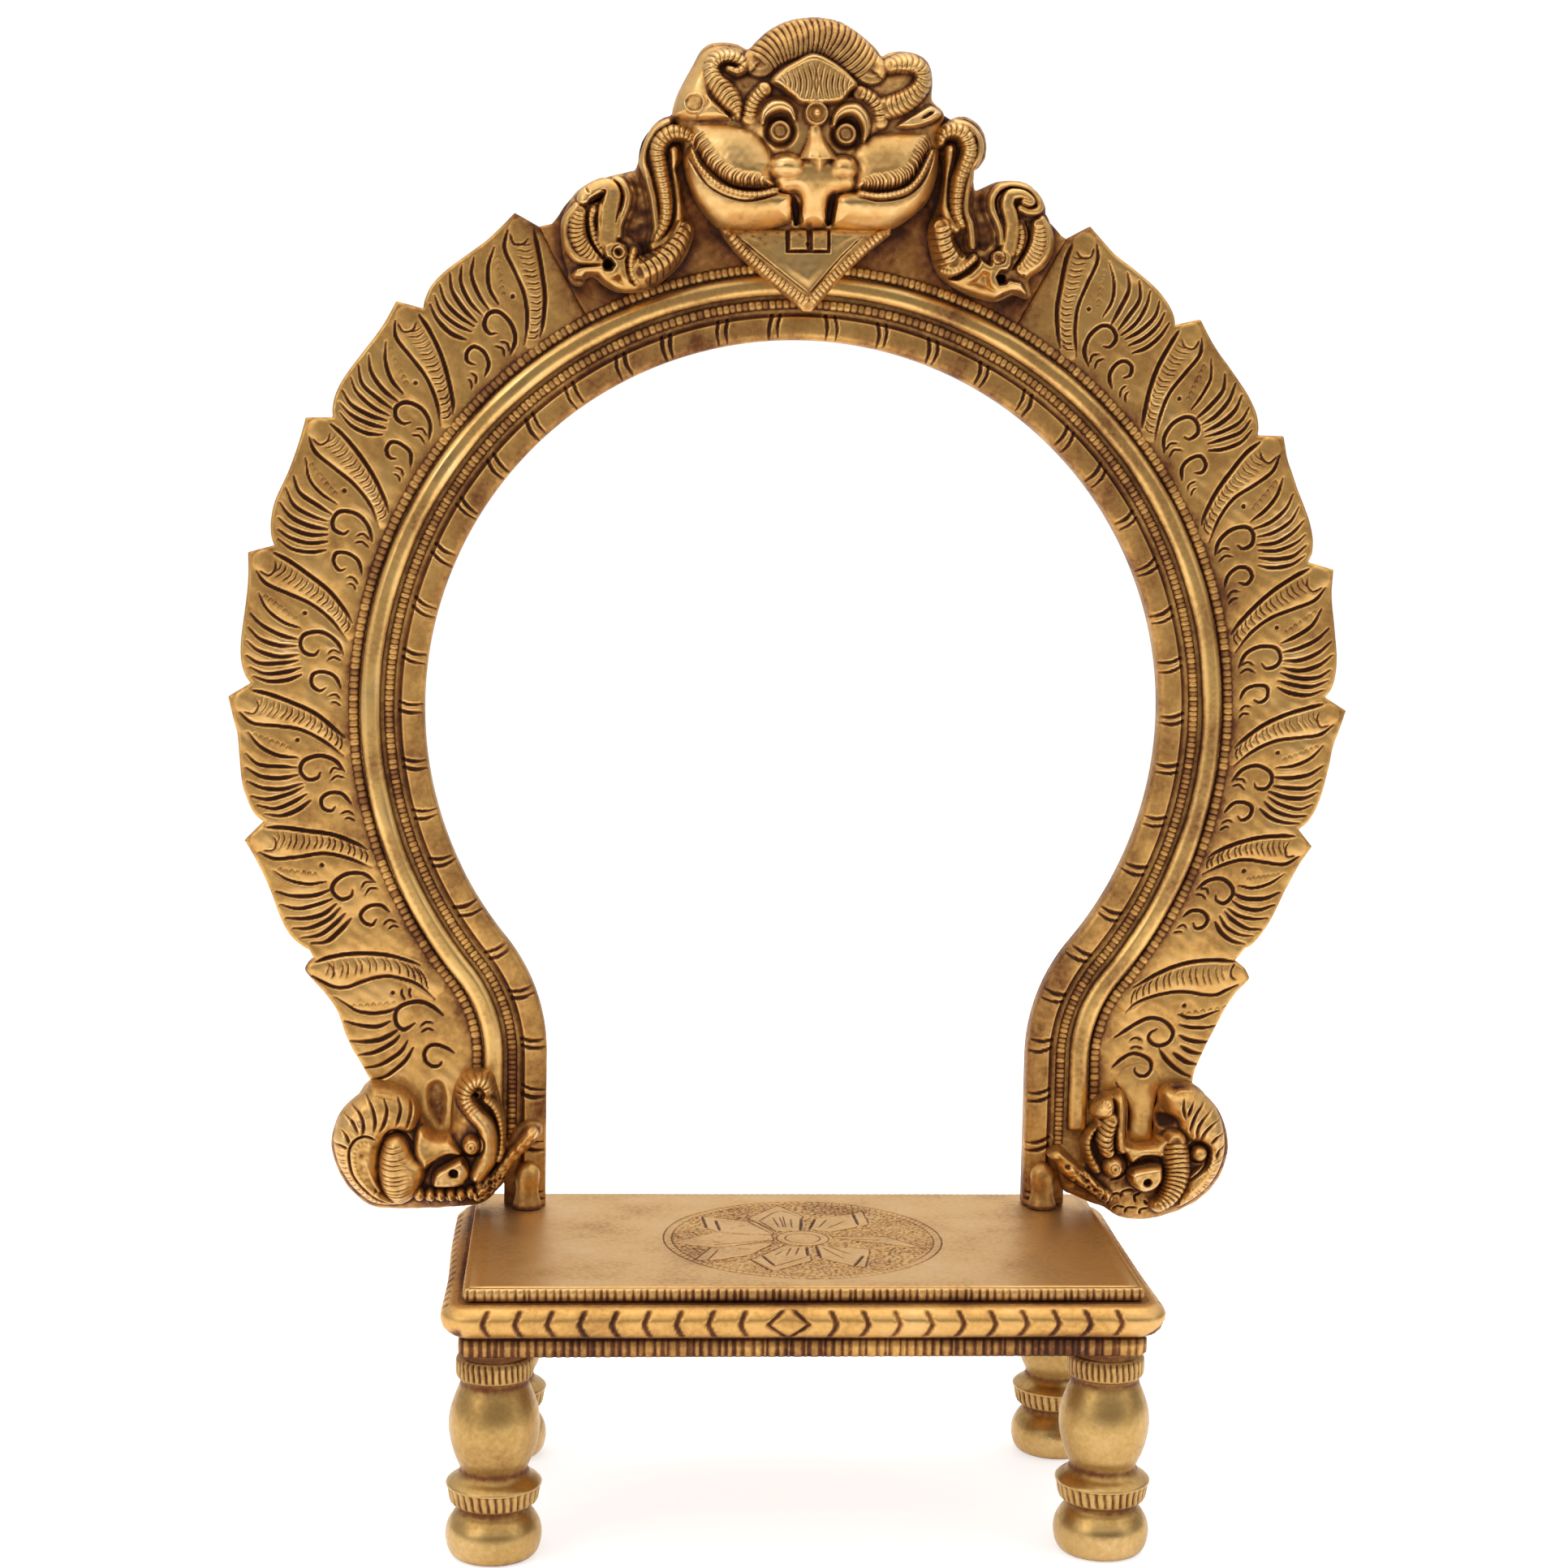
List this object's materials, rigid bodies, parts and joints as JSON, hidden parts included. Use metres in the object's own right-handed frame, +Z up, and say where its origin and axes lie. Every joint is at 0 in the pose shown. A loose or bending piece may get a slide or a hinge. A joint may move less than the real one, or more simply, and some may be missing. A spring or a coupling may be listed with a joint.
{
  "type": "deity simhasan throne",
  "caption": "Small cast brass deity throne: a low stool on turned legs with a horseshoe arch of feathers, a lion mask at its crest and lion heads at its feet.",
  "frame": {"origin": "on the floor, under the centre of the seat", "axes": "+X to the right as seen from the front, +Y to the back, +Z up"},
  "size_m": [0.2368, 0.0804, 0.3049],
  "materials": {
    "gold_brass": "aged cast brass, brown patina in the chased lines",
    "polished_brass": "brass polished bright on the high parts",
    "dark_brass": "brass left dark in the recesses"
  },
  "bodies": {
    "stool": {"seat_plate": "gold_brass", "seat_frame": "gold_brass", "leg_front_left": "polished_brass", "leg_front_right": "polished_brass", "leg_back_left": "polished_brass", "leg_back_right": "polished_brass", "arch_socket_left": "dark_brass", "arch_socket_right": "dark_brass"},
    "arch": {"arch_band": "gold_brass", "arch_roll": "polished_brass", "inner_bead_rim": "gold_brass", "outer_bead_rim": "gold_brass", "feather_plate_left": "gold_brass", "feather_plate_right": "gold_brass", "crest_plate": "dark_brass", "mask_face": "polished_brass", "mask_jaw": "polished_brass", "bird_left": "gold_brass", "bird_right": "gold_brass", "yali_head_left": "gold_brass", "yali_head_right": "gold_brass", "arch_peg_left": "gold_brass", "arch_peg_right": "gold_brass"}
  },
  "joints": [
    {"name": "arch_lift", "type": "slide", "parent": "stool", "child": "arch", "axis": [0, 0, 1], "range_m": [0, 0.012]}
  ]
}
